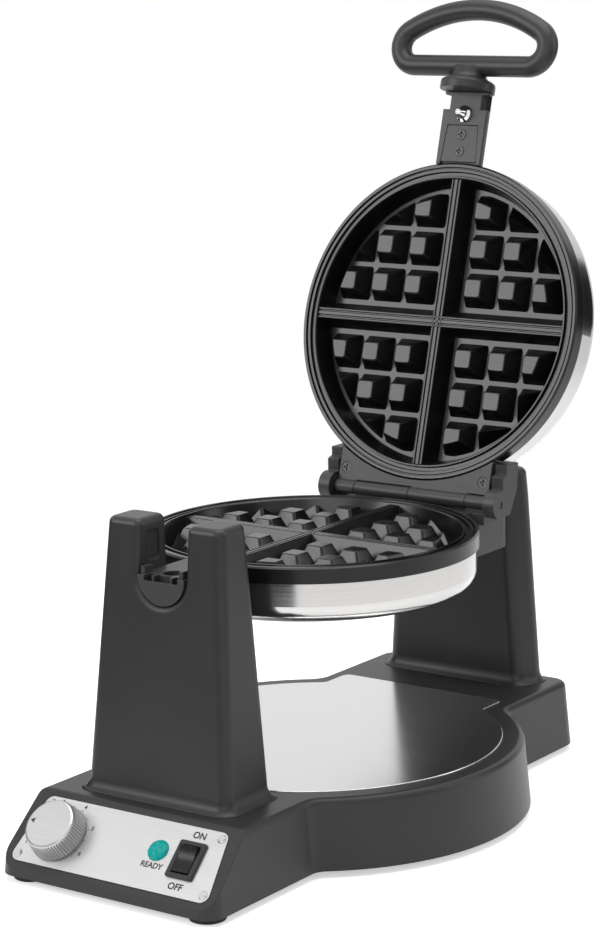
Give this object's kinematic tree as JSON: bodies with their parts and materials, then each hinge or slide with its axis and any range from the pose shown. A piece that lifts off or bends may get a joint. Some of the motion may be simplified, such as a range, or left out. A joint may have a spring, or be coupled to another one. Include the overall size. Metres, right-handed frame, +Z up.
{
  "type": "rotating waffle maker",
  "caption": "Rotating waffle maker: round hinged irons held between two posts over a base with a tray, dial, ready lamp and rocker switch.",
  "frame": {"origin": "on the floor under the centre of the round tray and irons", "axes": "+X right seen from the control panel, -Y towards the control panel, +Z up"},
  "size_m": [0.259, 0.4027, 0.4739],
  "materials": {
    "black_plastic": "satin black moulded plastic",
    "steel": "brushed stainless steel",
    "panel_steel": "fine brushed silver plate",
    "coated_iron": "cast aluminium with a black non-stick coat",
    "dark_metal": "black painted casting",
    "chrome": "bright chrome",
    "silver_plastic": "silver painted plastic",
    "rubber": "matt rubber",
    "lamp": "clear green moulding",
    "gloss_black": "gloss black moulding",
    "zinc": "plain zinc plated steel",
    "brass": "plain sintered bush"
  },
  "bodies": {
    "base": {"base_shell": "black_plastic", "base_pan": "black_plastic", "feet": "rubber", "foot_screws": "zinc", "drip_tray": "steel", "front_post": "black_plastic", "rear_post": "black_plastic", "rear_post_cap": "black_plastic", "rear_bush": "brass", "post_screws": "zinc", "control_panel": "panel_steel", "panel_rivets": "chrome", "ready_lens": "lamp", "lamp_holder": "black_plastic", "switch_housing": "gloss_black", "thermostat_body": "zinc"},
    "knob_turn": {"knob": "silver_plastic", "thermostat_spindle": "zinc"},
    "rocker": {"switch_rocker": "gloss_black"},
    "iron": {"lower_grid": "coated_iron", "lower_housing": "steel", "lower_heater": "zinc", "front_journal": "dark_metal", "yoke": "dark_metal", "hinge_pin": "zinc", "retaining_ring": "zinc"},
    "lid": {"upper_grid": "coated_iron", "upper_housing": "steel", "upper_heater": "zinc", "lid_bracket": "dark_metal", "bracket_screws": "zinc", "handle_arm": "dark_metal", "arm_cover": "dark_metal", "arm_screws": "zinc", "centring_stud": "chrome", "handle": "black_plastic"}
  },
  "joints": [
    {"name": "dial", "type": "hinge", "parent": "base", "child": "knob_turn", "pos_m": [-0.044, -0.18517, 0.02739], "axis": [0, -0.6984, 0.7157], "range_deg": [-205, 20]},
    {"name": "switch", "type": "hinge", "parent": "base", "child": "rocker", "pos_m": [0.045, -0.18396, 0.02802], "axis": [1, 0, 0], "range_deg": [-14, 0]},
    {"name": "flip", "type": "hinge", "parent": "base", "child": "iron", "pos_m": [0, 0, 0.171], "axis": [0, 1, 0], "range_deg": [-90, 90]},
    {"name": "lid_hinge", "type": "hinge", "parent": "iron", "child": "lid", "pos_m": [0, 0.1093, 0.1723], "axis": [1, 0, 0], "range_deg": [0, 105.9]}
  ]
}
